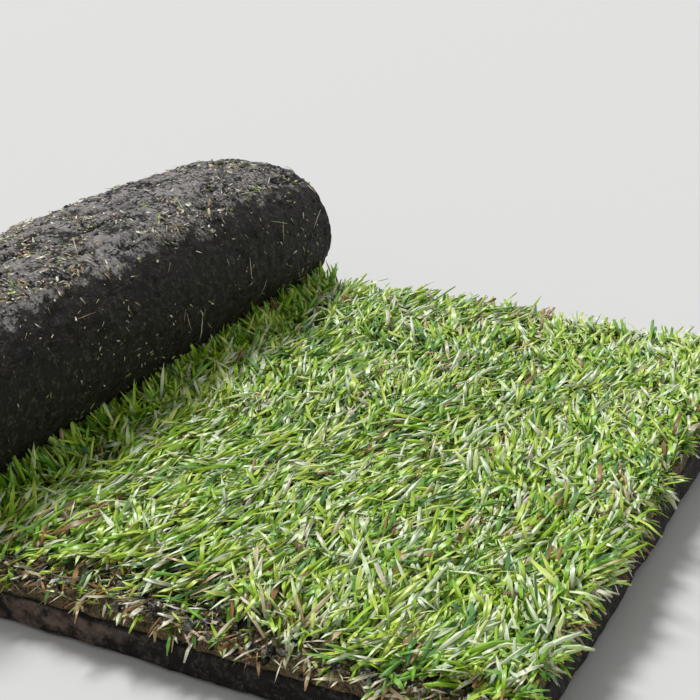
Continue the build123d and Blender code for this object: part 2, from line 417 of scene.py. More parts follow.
def soil_spot(s, y, share):
    """Where the soil's surface is: the strip with its relief, crumbled arrises and ragged cut sides."""
    s, y, share = np.broadcast_arrays(s, y, share)
    sward, pitch, left, right = winding(y)
    nose = left[-1] - SWARD_FOOT - sward - NOSE_GAP
    past = np.clip((s - (STRIP_LENGTH - nose)) / nose, 0, 1)
    crushed = nose * (1 - np.sqrt(1 - 0.98 * past**2))
    depth = crushed + (SOIL_DEPTH - crushed) * share
    side = smooth(np.abs(y), HALF_WIDTH - CUT_BAND, HALF_WIDTH)
    ragged = 1.0 * MM * rough(s, depth + 9 * y, 17 * MM, 41)
    ragged = ragged + 0.45 * MM * noise(s, depth + 9 * y, 4 * MM, 45)
    chewed = 1.5 * MM * clods(s, depth * 1.5 + 9 * y, 9 * MM, 46) - 0.7 * MM
    arris = ARRIS * side * (1 - np.sqrt(np.clip(1 - (1 - share / 0.18) ** 2, 0, 1))) * (share < 0.18)
    arris = arris + 0.6 * ARRIS * side * smooth(share, 0.85, 1)
    out = side * (ragged + chewed * (0.3 + 0.7 * share) - 0.8 * MM) - arris
    end = smooth(-s, -END_BAND, 0)
    torn = 0.9 * MM * rough(y, depth, 19 * MM, 51) + 0.5 * MM * clods(y, depth * 1.5, 8 * MM, 52)
    cut = end * (torn - 1.2 * MM)
    cut = cut - 1.2 * MM * end * (smooth(share, 0.9, 1) + smooth(-share, -0.12, 0))
    spot, along, inward = strip(s, y, depth)
    relief = soil_relief(s, y) * (1 - share) ** 2
    way_across = np.sign(y)[..., None] * ACROSS
    return spot - inward * relief[..., None] + way_across * out[..., None] - along * cut[..., None]


soil = slab_mesh("soil_mat_surface", SOIL_STEPS, SOIL_ROUND, soil_spot, True)


class Wire:
    """A value on its way through a node tree: arithmetic on it adds the Math nodes that work it out."""

    def __init__(self, nodes, socket):
        self.nodes = nodes
        self.socket = socket

    def math(self, operation, *values):
        return self.nodes.node("ShaderNodeMath", {"operation": operation}, *values)

    def __add__(self, other):
        return self.math("ADD", self, other)

    def __radd__(self, other):
        return self.math("ADD", other, self)

    def __sub__(self, other):
        return self.math("SUBTRACT", self, other)

    def __rsub__(self, other):
        return self.math("SUBTRACT", other, self)

    def __mul__(self, other):
        return self.math("MULTIPLY", self, other)

    def __rmul__(self, other):
        return self.math("MULTIPLY", other, self)

    def also(self, name):
        """Another output of the same node."""
        return Wire(self.nodes, self.socket.node.outputs[name])

    def between(self, low, high):
        """From 0 at low to 1 at high, with no corner at either; low may be the higher."""
        settings = {"interpolation_type": "SMOOTHSTEP"}
        if low < high:
            return self.nodes.node("ShaderNodeMapRange", settings, self, low, high)
        return 1 - self.nodes.node("ShaderNodeMapRange", settings, self, high, low)


def set_stops(elements, stops):
    """Gives a colour ramp's elements their places and colours."""
    while len(elements) < len(stops):
        elements.new(0.5)
    for element, (place, colour) in zip(elements, stops):
        element.position = place
        element.color = (*colour, 1)


class Nodes:
    """A node tree and the ways to add to it."""

    def __init__(self, tree):
        self.tree = tree

    def node(self, kind, settings, *values, output=0, **named):
        """A node of this kind, with its settings first and then its sockets, in order or by name."""
        made = self.tree.nodes.new(kind)
        for key, value in settings.items():
            if key == "stops":
                set_stops(made.color_ramp.elements, value)
            else:
                setattr(made, key, value)
        open_sockets = [socket for socket in made.inputs if socket.enabled and not socket.is_unavailable]
        pairs = list(zip(open_sockets, values))
        pairs += [(made.inputs[key.replace("_", " ")], value) for key, value in named.items()]
        for socket, value in pairs:
            self.feed(socket, value)
        return Wire(self, made.outputs[output])

    def feed(self, socket, value):
        """Links a wire to a socket, or sets the socket to a number, a vector or a colour."""
        if isinstance(value, Wire):
            self.tree.links.new(value.socket, socket)
        elif socket.type == "RGBA":
            socket.default_value = (*value[:3], 1.0)
        else:
            socket.default_value = value

    def mix(self, first, second, share):
        """The second colour over the first, by its share."""
        return self.node("ShaderNodeMix", {"data_type": "RGBA"}, share, first, second, output=2)

    def place(self):
        """Where a spot is on the object, which is also where it is in the frame."""
        return self.node("ShaderNodeTexCoord", {}, output="Object")

    def attribute(self, name):
        """A value that the piece's mesh carries for each of its points."""
        return self.node("ShaderNodeAttribute", {"attribute_name": name}, output="Fac")

    def mottle(self, where, size, detail=3.0, roughness=0.55):
        """Noise from 0 to 1 whose patches are about this size in metres."""
        values = {"Vector": where, "Scale": 1 / size, "Detail": detail, "Roughness": roughness}
        return self.node("ShaderNodeTexNoise", {}, **values)

    def bits(self, where, size, output="Distance"):
        """Cells of about this size: how far off each one's middle is, or each one's own colour."""
        return self.node("ShaderNodeTexVoronoi", {}, Vector=where, Scale=1 / size, output=output)


class Finish(Nodes):
    """A material by its name, with one Principled shader."""

    def __init__(self, name):
        self.material = bpy.data.materials.new(name)
        self.material.use_nodes = True
        super().__init__(self.material.node_tree)
        self.shader = self.tree.nodes["Principled BSDF"]

    def set(self, **values):
        for key, value in values.items():
            self.feed(self.shader.inputs[key.replace("_", " ")], value)

    def bump(self, height, depth):
        """Fine relief: the height, from 0 to 1, stands out by this depth in metres."""
        self.set(Normal=self.node("ShaderNodeBump", {}, Strength=1.0, Distance=depth, Height=height))


def carry(piece, name, values):
    """Gives each of the piece's points a value that its material can read."""
    piece.data.attributes.new(name, "FLOAT", "POINT").data.foreach_set(
        "value", np.ascontiguousarray(values, dtype=np.float32).ravel()
    )


def dress(piece, finish):
    """Gives a piece its finish and files it with the part of the sheet that it belongs to."""
    piece.data.materials.append(finish.material)
    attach(piece, "root")


MOIST_SOIL = (0.0090, 0.0080, 0.0065)
CLAMMY_SOIL = (0.062, 0.056, 0.046)
# The pale top of the roll: dried soil, crust and dust together with painted sunlight; the dust on its grains
# gives painted highlights.
SUNLIT_DRY_SOIL = (0.170, 0.159, 0.155)
SUNLIT_CRUST = (0.335, 0.317, 0.308)
SUNLIT_DUST = (0.80, 0.76, 0.71)
SUNLIT_SMEARED_CLAY = (0.25, 0.175, 0.140)
PEAT = (0.030, 0.021, 0.015)
STRAW_SPECK = (0.46, 0.38, 0.25)

soil_finish = Finish("moist_soil")
on_soil = soil_finish.place()
# The point value read here is the top's dried dust together with its painted sunlight.
dry = soil_finish.attribute("dry")
grains = soil_finish.mottle(on_soil, 1.8 * MM, 6, 0.7)
patches = soil_finish.mottle(on_soil, 22 * MM, 4)
clumps = soil_finish.mottle(on_soil, 5 * MM, 3, 0.6)
drawn_out = soil_finish.node("ShaderNodeMapping", {"vector_type": "POINT"}, on_soil, Scale=(1.0, 0.3, 1.0))
wander = soil_finish.mottle(drawn_out, 13 * MM, 3, 0.6) - 0.5
opened = wander.math("ABSOLUTE", wander).between(0.022, 0.006) * patches.between(0.45, 0.53)
# How much of the painted sunlit top, with its dust, shows at each spot.
dusty_and_lit = (dry * 1.25 + (patches - 0.5) * 0.5 + (grains - 0.5) * 1.3).between(0.15, 0.9)
dark = soil_finish.mix(MOIST_SOIL, CLAMMY_SOIL, (grains * 0.6 + clumps * 0.4).between(0.49, 0.62))
dark = soil_finish.mix(dark, PEAT, patches.between(0.5, 0.8) * 0.6)
crust = soil_finish.mottle(drawn_out, 16 * MM, 5, 0.6).between(0.44, 0.58)
colour = soil_finish.mix(dark, soil_finish.mix(SUNLIT_DRY_SOIL, SUNLIT_CRUST, crust), dusty_and_lit)
# Painted highlights: pale dust picked out on the grains of the painted sunlit top.
colour = soil_finish.mix(colour, SUNLIT_DUST, dusty_and_lit * grains.between(0.54, 0.66) * (0.85 - crust * 0.5))
pits = (grains * 0.6 + clumps * 0.4).between(0.495, 0.435)
colour = soil_finish.mix(colour, MOIST_SOIL, pits * (1 - crust * 0.3))
colour = soil_finish.mix(colour, MOIST_SOIL, opened * 0.9)
soil_y = soil_finish.node("ShaderNodeSeparateXYZ", {}, on_soil, output="Y")
soil_x = soil_y.also("X")
# Reddish clay smeared on the front cut face, kept to a stretch near the roll and paled there: partly clay,
# partly painted sunlight.
smear_in_sun = soil_y.between(1.5 * MM - HALF_WIDTH, 0.5 * MM - HALF_WIDTH) * soil_x.between(45 * MM, 10 * MM)
smear_in_sun = smear_in_sun * (clumps * 0.3 + patches * 0.7).between(0.4, 0.54)
colour = soil_finish.mix(colour, SUNLIT_SMEARED_CLAY, smear_in_sun * soil_x.between(-80 * MM, -60 * MM) * 0.6)
speck_cells = soil_finish.bits(on_soil, 3.4 * MM)
rare = soil_finish.mottle(on_soil, 2.6 * MM, 1).between(0.6, 0.68)
specks = speck_cells.between(0.26, 0.16) * rare
colour = soil_finish.mix(colour, STRAW_SPECK, specks * (0.25 + dusty_and_lit * 0.75))
soil_finish.set(Base_Color=colour, Roughness=0.66 + dusty_and_lit * 0.3 - (grains - 0.5) * 0.2)
soil_finish.shader.inputs["Specular IOR Level"].default_value = 0.18
soil_finish.bump(grains * 0.6 + clumps * 0.6 + specks * 0.3 - opened * 0.8, 1.3 * MM)

sheet = rows_along(SOIL_STEPS)[:, None], slab_ring(*SOIL_ROUND)[0][None, :]
# Each point's dried dust and painted sunlight, less of both in the hollows of the relief, which stay dark.
proud = soil_relief(*sheet) - lump_net(*sheet)
dried_and_lit = 0.1 + 0.9 * smooth(proud, -1.5 * MM, 0.6 * MM)
drying_and_light = (weathered_and_lit(*sheet) * dried_and_lit * painted_sunlight(*sheet)).ravel()
carry(soil, "dry", np.append(drying_and_light, np.zeros(len(soil.data.vertices) - len(drying_and_light))))

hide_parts("soil_mat")
dress(soil, soil_finish)


# The sward's foot: a felt of dead leaves, stems and runners on the soil, green only where blades come out
# of it; away from the cut edges it is darker, as painted shade between the blades. Between the turns it is
# crushed flat, and it stays a little inside the cut edges.
THATCH_ROUND = (130, 4, 8)
THATCH_STEPS = (20, 76, 8, 16, 4, 14, 4, 12, 4, 10, 6)
THATCH_DEPTH = 9 * MM
SWARD_HEIGHT = 18 * MM
THATCH_INSET = 2.2 * MM
CRUSH_IN = 16 * MM
SHOULDER = 9 * MM


def standing(s):
    """1 where the sward is free and 0 where it is crushed under the roll or inside it."""
    return 1 - smooth(s, UNDER_ROLL - CRUSH_IN, UNDER_ROLL)


# The tussocks, too, are those of the CAD part.
TUSSOCKS = 18
TUSSOCK_RADII = (230 * MM, 290 * MM, 350 * MM)
TUSSOCK_RISE = 2.4 * MM
TUSSOCK_ROOT = 1 * MM
TUSSOCK_GAP = 4 * MM


def tussocks(x, y):
    """How far the free sward swells up: each tussock is the top of a broad ball, and the highest counts."""
    cap = TUSSOCK_RISE + TUSSOCK_ROOT
    clear = TUSSOCK_GAP + np.sqrt(cap * (2 * max(TUSSOCK_RADII) - cap))
    stand = SWARD_FOOT + SWARD_HEIGHT
    roll_z = ROLL_LEFT + (ROLL_LEFT - ROLL_RIGHT)
    first = RIGHT_X + np.sqrt((ROLL_RIGHT + TURN_SEAM) ** 2 - (roll_z - stand) ** 2) + clear
    last = LIFT_X + (LIFT_RADIUS - stand) * np.sin(LIFT_ANGLE) - clear
    number = np.arange(TUSSOCKS)
    middle_x = first + (last - first) * ((0.5 + number * SPREAD[0]) % 1)
    middle_y = (HALF_WIDTH - clear) * (2 * ((0.5 + number * SPREAD[1]) % 1) - 1)
    away = (x[..., None] - middle_x) ** 2 + (y[..., None] - middle_y) ** 2
    rise = TUSSOCK_RISE - away / (2 * np.array(TUSSOCK_RADII)[number % len(TUSSOCK_RADII)])
    return np.clip(rise.max(axis=-1), 0, None)


def shoulder(x, y):
    """1 at the strip's cut edges and 0 further in, where the sward stands at its full height."""
    from_edge = np.minimum(HALF_WIDTH - np.abs(y), LENGTH / 2 - x)
    return 1 - smooth(from_edge, 0, SHOULDER)


def thatch_spot(s, y, share):
    """Where the felt's surface is: its top, share 0, is lumpy where it is free, and its foot is plain."""
    s, y, share = np.broadcast_arrays(s, y, share)
    sward = winding(y)[0]
    free = standing(s)
    lumps = 1.8 * MM * rough(s, y, 12 * MM, 61) + 1.2 * MM * clods(s, y, 5 * MM, 62)
    x = x_at(s, y)
    height = THATCH_DEPTH * (1 - 0.25 * shoulder(x, y)) + lumps + tussocks(x, y)
    top = free * height + (1 - free) * (sward - 0.4 * MM)
    side = smooth(np.abs(y), HALF_WIDTH - CUT_BAND, HALF_WIDTH)
    inset = side * (THATCH_INSET + 1.4 * MM * rough(s, 0 * y, 9 * MM, 63) + 1.5 * MM * (1 - share) * free)
    end = smooth(-s, -END_BAND, 0) * (THATCH_INSET + 1.6 * MM * rough(y, 0 * s, 9 * MM, 64))
    spot, along, inward = strip(s, y, SWARD_FOOT + top * (1 - share))
    return spot - np.sign(y)[..., None] * ACROSS * inset[..., None] + along * end[..., None]


thatch = slab_mesh("sward_felt", THATCH_STEPS, THATCH_ROUND, thatch_spot, False)

DEAD_LEAF = (0.20, 0.125, 0.060)
PALE_STEM = (0.44, 0.33, 0.18)
HUMUS_AND_SHADE = (0.020, 0.014, 0.009)
MOSS_GREEN_AND_SHADE = (0.034, 0.074, 0.006)

felt_finish = Finish("felt_of_dead_leaves")
on_felt = felt_finish.place()
stretched = felt_finish.node("ShaderNodeMapping", {"vector_type": "POINT"}, on_felt, Scale=(1.0, 0.35, 1.0))
fibres = felt_finish.mottle(stretched, 1.1 * MM, 4, 0.65)
tufts = felt_finish.mottle(on_felt, 9 * MM, 3)
felt_y = felt_finish.node("ShaderNodeSeparateXYZ", {}, on_felt, output="Y")
side_on = felt_y.math("ABSOLUTE", felt_y).between(HALF_WIDTH - 14 * MM, HALF_WIDTH - 4 * MM)
end_on = felt_y.also("X").between(LENGTH / 2 - 14 * MM, LENGTH / 2 - 5 * MM)
edge_on = side_on.math("MAXIMUM", side_on, end_on)
# Away from the cut edges less dead leaf and more dark humus and moss show: painted shade between the blades.
dead_share = (fibres + edge_on * 0.06).between(0.42, 0.64) * (0.5 + edge_on * 0.5)
colour = felt_finish.mix(HUMUS_AND_SHADE, DEAD_LEAF, dead_share)
colour = felt_finish.mix(colour, MOSS_GREEN_AND_SHADE, tufts.between(0.4, 0.58) * (0.85 - edge_on * 0.6))
colour = felt_finish.mix(colour, PALE_STEM, fibres.between(0.6, 0.7) * (0.15 + edge_on * 0.6))
felt_finish.set(Base_Color=colour, Roughness=0.9)
felt_finish.bump(fibres, 1.0 * MM)

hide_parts("grass_sward")
dress(thatch, felt_finish)


# The blades: lawn grass mown about 20 mm high, each blade a keeled ribbon 2 mm wide. Most were laid over
# one way, across the strip, by the roller and by being rolled up. Those beside the roll stand every way.
RINGS = np.array([0.0, 0.62, 1.0])
KEEL = 0.26
FOOT_WIDTH = 0.85
HALF_SHADE = 0.0016


def lay_ribbons(name, foot, heading, up, length, width, rise, bend, roll, shade, tip):
    """Many ribbons as one piece: each leaves its foot at its rise above the ground, which turns by its bend.

    A ribbon is three-cornered across: two edges and a keel. Its width swells from its foot and ends in its
    tip's share of it. On the map, u is its shade and v runs from its foot to its tip.
    """
    count = len(foot)
    slope = (rise[:, None] + bend[:, None] * RINGS[None, :] ** 1.3)[:, :, None]
    ahead = heading[:, None, :] * np.cos(slope) + up[:, None, :] * np.sin(slope)
    steps = (ahead[:, 1:] + ahead[:, :-1]) / 2 * np.diff(RINGS)[None, :, None] * length[:, None, None]
    middle = foot[:, None, :] + np.concatenate([np.zeros((count, 1, 3)), np.cumsum(steps, axis=1)], axis=1)
    side = np.cross(up, heading)[:, None, :]
    above = np.cross(ahead, side)
    turn = (roll[:, None] + 0.5 * np.sin(7 * shade + 3 * roll)[:, None] * RINGS[None, :])[:, :, None]
    edge_way = side * np.cos(turn) + above * np.sin(turn)
    keel_way = above * np.cos(turn) - side * np.sin(turn)
    swell = np.stack([np.full(count, FOOT_WIDTH), np.ones(count), tip], axis=1)
    wide = (width[:, None] * swell)[:, :, None]
    edges = middle - edge_way * wide / 2, middle + edge_way * wide / 2
    corners = np.stack([*edges, middle - keel_way * wide * KEEL], axis=2)
    at = np.arange(count * len(RINGS) * 3).reshape(count, len(RINGS), 3)
    quads, quad_map = [], []
    u = shade[:, None, None]
    v = np.broadcast_to(RINGS[None, :, None], (count, len(RINGS), 1))
    ways = (1, 0, HALF_SHADE, -HALF_SHADE), (2, 1, 0.0, HALF_SHADE), (0, 2, -HALF_SHADE, 0.0)
    for first, second, first_off, second_off in ways:
        quad = [at[:, :-1, first], at[:, :-1, second], at[:, 1:, second], at[:, 1:, first]]
        quads.append(np.stack(quad, axis=-1).reshape(-1, 4))
        a = np.concatenate([u + first_off + 0 * v, v], axis=2)
        b = np.concatenate([u + second_off + 0 * v, v], axis=2)
        quad_map.append(np.stack([a[:, :-1], b[:, :-1], b[:, 1:], a[:, 1:]], axis=2).reshape(-1, 4, 2))
    ends, ends_map = [], []
    for ring, order, inside in ((0, (0, 1, 2), 0.01), (-1, (1, 0, 2), 0.99)):
        ends.append(at[:, ring][:, order])
        low = np.column_stack([shade - HALF_SHADE, v[:, ring, 0]])
        high = np.column_stack([shade + HALF_SHADE, v[:, ring, 0]])
        ends_map.append(np.stack([low, high, np.column_stack([shade, np.full(count, inside)])], axis=1))
    sides = np.concatenate(quads), np.concatenate(quad_map)
    caps = np.concatenate(ends), np.concatenate(ends_map)
    piece = make_mesh(name, corners.reshape(-1, 3), [sides, caps], fit_map=False)
    ends_of_edge = np.empty(2 * len(piece.data.edges), dtype=np.int32)
    piece.data.edges.foreach_get("vertices", ends_of_edge)
    apart = np.abs(np.diff(ends_of_edge.reshape(-1, 2), axis=1)).ravel()
    piece.data.attributes.new("sharp_edge", "BOOLEAN", "EDGE").data.foreach_set("value", apart == 3)
    dress(piece, leaf_finish)


def turned_by(along, up, angle):
    """The way that lies at this angle from along, turned about up."""
    side = np.cross(up, along)
    return along * np.cos(angle)[:, None] + side * np.sin(angle)[:, None]


# The pale silver-green, and the bleached shade beyond it, give painted sheen: blades made pale as painted
# highlights. The bleached shade is also the own colour of dead blades and bits.
DEEP_GREEN = (0.030, 0.120, 0.004)
BLUE_GREEN = (0.120, 0.330, 0.085)
LEAF_GREEN = (0.215, 0.510, 0.016)
YOUNG_GREEN = (0.440, 0.690, 0.020)
YELLOW_GREEN = (0.710, 0.860, 0.110)
PAINTED_SHEEN_GREEN = (0.790, 0.940, 0.600)
BLEACHED_AND_SHEEN = (0.860, 0.815, 0.660)
STRAW = (0.740, 0.610, 0.370)
RUST = (0.430, 0.190, 0.050)
BROWN = (0.160, 0.085, 0.038)
SHADES = (
    (0.0, DEEP_GREEN), (0.13, BLUE_GREEN), (0.28, LEAF_GREEN), (0.44, YOUNG_GREEN), (0.56, YELLOW_GREEN),
    (0.68, PAINTED_SHEEN_GREEN), (0.78, BLEACHED_AND_SHEEN), (0.86, STRAW), (0.93, RUST), (1.0, BROWN),
)
SHEATH = (0.440, 0.540, 0.140)

leaf_finish = Finish("grass_leaf")
on_leaf = leaf_finish.node("ShaderNodeUVMap", {"uv_map": "OFBake"})
leaf_shade = leaf_finish.node("ShaderNodeSeparateXYZ", {}, on_leaf, output="X")
up_the_leaf = leaf_shade.also("Y")
leaf_colour = leaf_finish.node("ShaderNodeValToRGB", {"stops": SHADES}, leaf_shade)
leaf_colour = leaf_finish.mix(leaf_colour, SHEATH, up_the_leaf.between(0.2, 0.0) * 0.35)
leaf_colour = leaf_finish.mix(leaf_colour, STRAW, up_the_leaf.between(0.95, 1.0) * 0.6)
along_the_leaf = leaf_finish.node("ShaderNodeCombineXYZ", {}, leaf_shade * 160, up_the_leaf * 2.2, 0)
streak = leaf_finish.mottle(along_the_leaf, 1, 2)
leaf_colour = leaf_finish.mix(leaf_colour, DEEP_GREEN, streak.between(0.62, 0.35) * 0.3)
leaf_finish.set(Base_Color=leaf_colour, Roughness=0.31 + streak * 0.2)
leaf_finish.shader.inputs["Specular IOR Level"].default_value = 0.65


BARE_EDGE = 9 * MM
BARE_PATCH = 25 * MM
PATCH_X = 15 * MM
PATCH_SPREAD = 75 * MM
BARED = 0.94


def bare_share(x, y):
    """From 0 to 1: how bare the front edge is, in a band that a bell curve widens near the roll."""
    reach = BARE_EDGE + BARE_PATCH * np.exp(-(((x - PATCH_X) / PATCH_SPREAD) ** 2))
    reach = reach + 5 * MM * noise(x, y, 14 * MM, 71)
    return 1 - smooth(y + HALF_WIDTH, 0.5 * reach, reach + 3 * MM)


rng = np.random.default_rng(81)
NIP = UNDER_ROLL - 14 * MM


def scatter(count, s_low, s_high=NIP):
    """Feet of blades on the felt: their places along and across the strip, up to the nip under the roll."""
    s = rng.uniform(s_low, s_high, count)
    y = rng.uniform(-HALF_WIDTH + 1.5 * MM, HALF_WIDTH - 1.5 * MM, count)
    return s, y


def roll_clearance(s, y):
    """How high a blade may stand over the soil before it meets the side of the roll above it."""
    sward, pitch, left, right = winding(y)
    beyond = np.clip(UNDER_ROLL - s, 0, None)
    drop = np.sqrt(np.clip(right[0] ** 2 - beyond**2, 0, None))
    gap = left[0] + pitch / 2 - drop - SOIL_DEPTH
    return np.where(beyond < right[0], gap, 1.0)


def keep_blades(s, y):
    """Which blades stay: all but most of those where the front edge is bare."""
    return rng.random(len(s)) > BARED * bare_share(x_at(s, y), y)


LAID_WAY = np.radians(-96)
REACH_OUT = 12 * MM

# Each kind: its name, how many are tried, lengths in mm, rises and bends in radians, heights of the feet and
# widths in mm, and the usual shade. The low leaning blades take the darkest usual shade: painted shade deep
# in the sward.
BLADE_KINDS = (
    ("leaning_blades", 11500, (9, 16), (0.5, 1.15), (-1.0, -0.4), (3, 9), (1.3, 2.2), 0.25),
    ("laid_blades_1", 14500, (9, 18), (0.1, 0.7), (-0.75, -0.1), (8, 13.5), (1.3, 2.4), 0.40),
    ("laid_blades_2", 15500, (9, 20), (0.0, 0.5), (-0.55, 0.05), (12, 16.5), (1.3, 2.6), 0.46),
    ("long_blades", 2200, (17, 28), (0.0, 0.4), (-0.7, -0.1), (13, 17), (1.4, 2.5), 0.47),
)


def held_in(foot, heading, length):
    """The length that keeps a blade's tip within its reach beyond the strip's cut edges."""
    outward = heading[:, 1] * np.sign(foot[:, 1])
    room_y = (HALF_WIDTH + REACH_OUT - np.abs(foot[:, 1])) / np.clip(outward, 0.05, 1)
    room_x = (LENGTH / 2 + REACH_OUT - foot[:, 0]) / np.clip(heading[:, 0], 0.05, 1)
    return np.minimum(length, np.minimum(room_x, room_y))


for name, count, lengths, rises, bends, heights, widths, usual in BLADE_KINDS:
    # Their feet stand in tufts, on the felt and clear of the roll.
    s, y = scatter(count, 2 * MM)
    tufted = 1 - 0.85 * smooth(noise(s, y, 11 * MM, 87), 0.1, 0.6) * (usual > 0.35)
    kept = keep_blades(s, y) & (rng.random(count) < tufted)
    s, y = s[kept], y[kept]
    count = len(s)
    clear = roll_clearance(s, y)
    x = x_at(s, y)
    start = rng.uniform(*heights, count) * MM * (1 - 0.4 * shoulder(x, y)) + tussocks(x, y)
    start = start + 1.3 * MM * noise(s, y, 24 * MM, 89)
    foot, along, up = strip(s, y, SOIL_DEPTH + np.minimum(start, clear * 0.5))
    # They lie over one way in swirls, but every way in the roll's shade.
    swirl = 0.55 * rough(s, y, 60 * MM, 82, 2) + 0.6 * noise(s, y, 13 * MM, 84)
    way = LAID_WAY + swirl + rng.normal(0, 0.45, count) + np.pi * (rng.random(count) < 0.22)
    from_the_roll = UNDER_ROLL - ROLL_RIGHT - s + 7 * MM * noise(s, y, 14 * MM, 92)
    shaded = 1 - smooth(from_the_roll, -7 * MM, 15 * MM)
    way = way * (1 - 0.5 * shaded) + shaded * rng.normal(np.pi * 0.4, 1.0, count)
    heading = turned_by(along, up, way)
    length = np.minimum(rng.uniform(*lengths, count) * MM, clear * 1.05)
    length = held_in(foot, heading, length)
    # They rise more in the shade, and most of them end there in a point, not a mown tip.
    rise = rng.uniform(*rises, count) * (1 - shaded) + shaded * rng.uniform(0.4, 1.3, count)
    bend = rng.uniform(*bends, count) * (1 - 0.6 * shaded)
    pointed = rng.random(count) < 0.4 + 0.5 * shaded
    tip = np.where(pointed, 0.08, rng.uniform(0.5, 0.8, count))
    # Their shade varies over the lawn and from blade to blade, with some pale silvery ones as painted sheen,
    # fewer in the roll's shade, and some dead.
    worn = smooth(rough(s, y, 48 * MM, 90, 2), 0.35, 0.8) * (1 - shaded)
    tone = usual + 0.09 * rough(s, y, 35 * MM, 85, 2) + 0.08 * noise(s, y, 8 * MM, 88)
    tone = tone + 0.8 * shaded * (0.41 - tone) - 0.06 * worn
    shade = np.clip(rng.normal(tone, 0.17 - 0.05 * shaded), 0.02, 0.7)
    # Painted sheen: a share of the blades is made pale silver-green as painted highlights, fewer where the
    # roll shades them.
    shade = np.where(rng.random(count) < 0.16 * (1 - 0.8 * shaded), rng.uniform(0.61, 0.75, count), shade)
    dying = 0.04 * (1 - shaded) + 0.14 * worn + 0.35 * bare_share(x, y) + 0.07 * shoulder(x, y)
    dead = rng.random(count) < dying
    shade = np.where(dead, 0.79 + 0.2 * rng.random(count) ** 1.5, shade)
    width = rng.uniform(*widths, count) * MM
    roll = rng.normal(0, 0.4, count) + np.pi * (rng.random(count) < 0.6)
    lay_ribbons(name, foot, heading, up, length, width, rise, bend, roll, shade, tip)


# Loose on the soil: clods and crumbs of it where it has dried, pale with painted sunlight like the top, and
# what the mower and the roots left in it: bleached clippings, a few fresh ones and thin roots that hang out
# of the cut face.
def icosahedron():
    """The twelve corners and twenty faces of a ball with flat sides."""
    golden = (1 + 5**0.5) / 2
    rim = [(a, b * golden, 0) for a in (-1, 1) for b in (-1, 1)]
    points = np.array([np.roll(corner, shift) for shift in range(3) for corner in rim], dtype=float)
    points /= np.linalg.norm(points[0])
    apart = np.linalg.norm(points[:, None] - points[None, :], axis=2)
    near = (apart > 0.1) & (apart < 1.1)
    faces = [
        (a, b, c) if np.dot(np.cross(points[a], points[b]), points[c]) > 0 else (a, c, b)
        for a in range(12)
        for b in range(a + 1, 12)
        for c in range(b + 1, 12)
        if near[a, b] and near[b, c] and near[a, c]
    ]
    return points, np.array(faces)


def octahedron():
    """The six corners and eight faces of a coarser one."""
    points = np.concatenate([np.eye(3), -np.eye(3)])
    faces = [(0, 1, 2), (1, 3, 2), (3, 4, 2), (4, 0, 2), (1, 0, 5), (3, 1, 5), (4, 3, 5), (0, 4, 5)]
    return points, np.array(faces)


def crumble(name, form, spots, sizes, uneven):
    """Many crumbs as one piece: the form at each spot, turned, squashed and uneven at random."""
    points, faces = form
    count = len(spots)
    turn = np.linalg.qr(rng.normal(size=(count, 3, 3)))[0]
    turn *= np.sign(np.linalg.det(turn))[:, None, None]
    shape = points[None] * rng.uniform(1 - uneven, 1 + uneven, (count, len(points), 1))
    shape = shape * rng.uniform(0.65, 1.2, (count, 1, 3)) * (sizes / 2)[:, None, None]
    corners = np.einsum("nij,nkj->nki", turn, shape) + spots[:, None, :]
    at = (np.arange(count) * len(points))[:, None, None] + faces[None]
    cells = int(np.ceil(count**0.5))
    cell = np.stack([np.arange(count) % cells, np.arange(count) // cells], axis=-1)
    ball_map = 0.5 + 0.42 * points[faces][..., :2] + 0.03 * points[faces][..., 2:]
    places = (cell[:, None, None, :] + ball_map[None]) / cells
    return make_mesh(name, corners.reshape(-1, 3), [(at.reshape(-1, 3), places.reshape(-1, 3, 2))])


OFF_THE_FLOOR = 12 * MM


def on_roll(count, chance):
    """Spots on the outside of the roll, kept by their chance(s, y): the places, the spots and the ways."""
    s = rng.uniform(ROLL_START, ROLL_END - 8 * MM, count)
    y = rng.uniform(-HALF_WIDTH + 1 * MM, HALF_WIDTH - 1 * MM, count)
    kept = rng.random(count) < chance(s, y)
    kept &= strip(s, y, 0)[0][:, 2] > OFF_THE_FLOOR
    s, y = s[kept], y[kept]
    along, inward = strip(s, y, 0)[1:]
    return s, y, soil_spot(s, y, 0 * s), along, -inward


def skewed(low, high, count, power):
    """Random values from low to high, the more of them low the higher the power."""
    return low + (high - low) * rng.random(count) ** power


def heaped(s, y):
    """Crumbs gather where the top has broken up, more in some places than others."""
    return (0.12 + 0.88 * weathered_and_lit(s, y)) * (0.1 + 0.9 * smooth(rough(s, y, 22 * MM, 91), -0.2, 0.5))


for name, form, count, sizes, uneven in (
    ("clods_on_the_roll", icosahedron(), 2600, (1.0, 3.4), 0.3),
    ("crumbs_on_the_roll", octahedron(), 9000, (0.6, 1.7), 0.25),
):
    s, y, spots, along, out = on_roll(count, heaped)
    crumbs = crumble(name, form, spots, skewed(*sizes, len(s), 3) * MM, uneven)
    # Their paleness is painted sunlight as well as dried dust, like the top that they lie on.
    dryness_and_light = rng.uniform(0.1, 1.0, len(s)) * (0.2 + 0.8 * weathered_and_lit(s, y)) * painted_sunlight(s, y)
    carry(crumbs, "dry", np.repeat(dryness_and_light, len(form[0])))
    dress(crumbs, soil_finish)


